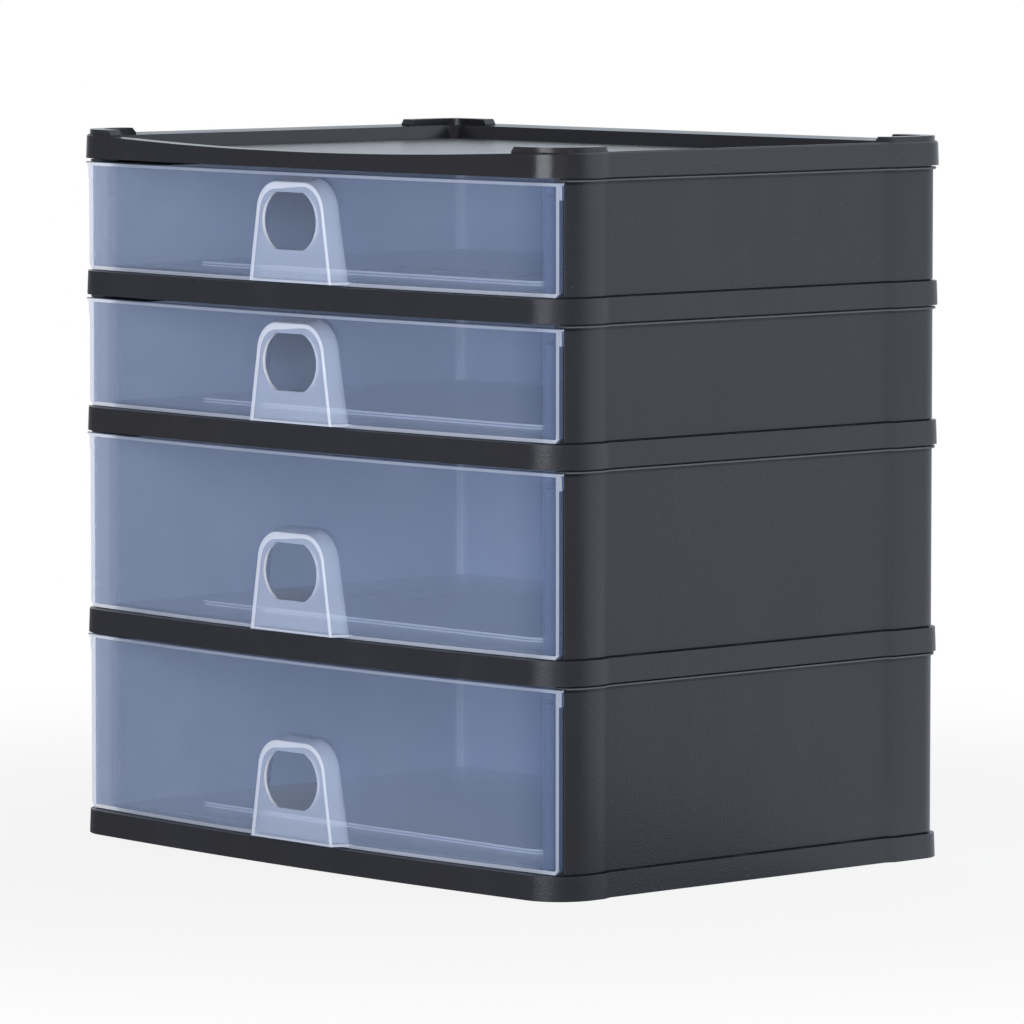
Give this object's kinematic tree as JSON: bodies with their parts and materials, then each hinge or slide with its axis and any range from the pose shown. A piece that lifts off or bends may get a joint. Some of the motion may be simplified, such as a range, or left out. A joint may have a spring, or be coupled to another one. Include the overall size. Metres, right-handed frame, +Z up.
{
  "type": "stacked drawer tower for paper",
  "caption": "Desktop tower of shallow and deep paper drawers sliding between stacked charcoal trays, with moulded finger pulls and a shallow tray in the lid.",
  "frame": {"origin": "on the floor under the middle of the plan, in the base's middle foot", "axes": "+X to the user's right, -Y towards the user (drawers open to -Y), +Z up"},
  "size_m": [0.4138, 0.306, 0.4023],
  "materials": {
    "charcoal_shell": "fine matte grain",
    "smoke_blue_drawer": "smooth translucent, slightly hazy"
  },
  "bodies": {
    "shell": {"base_tray": "charcoal_shell", "shelf_tray_1": "charcoal_shell", "shelf_tray_2": "charcoal_shell", "shelf_tray_3": "charcoal_shell", "top_cover": "charcoal_shell", "side_wall_left_1": "charcoal_shell", "side_wall_right_1": "charcoal_shell", "back_panel_1": "charcoal_shell", "side_wall_left_2": "charcoal_shell", "side_wall_right_2": "charcoal_shell", "back_panel_2": "charcoal_shell", "side_wall_left_3": "charcoal_shell", "side_wall_right_3": "charcoal_shell", "back_panel_3": "charcoal_shell", "side_wall_left_4": "charcoal_shell", "side_wall_right_4": "charcoal_shell", "back_panel_4": "charcoal_shell"},
    "drawer_body_1": {"drawer_1": "smoke_blue_drawer"},
    "drawer_body_2": {"drawer_2": "smoke_blue_drawer"},
    "drawer_body_3": {"drawer_3": "smoke_blue_drawer"},
    "drawer_body_4": {"drawer_4": "smoke_blue_drawer"}
  },
  "joints": [
    {"name": "drawer_1_slide", "type": "slide", "parent": "shell", "child": "drawer_body_1", "axis": [0, -1, 0], "range_m": [0, 0.211]},
    {"name": "drawer_2_slide", "type": "slide", "parent": "shell", "child": "drawer_body_2", "axis": [0, -1, 0], "range_m": [0, 0.211]},
    {"name": "drawer_3_slide", "type": "slide", "parent": "shell", "child": "drawer_body_3", "axis": [0, -1, 0], "range_m": [0, 0.211]},
    {"name": "drawer_4_slide", "type": "slide", "parent": "shell", "child": "drawer_body_4", "axis": [0, -1, 0], "range_m": [0, 0.211]}
  ]
}
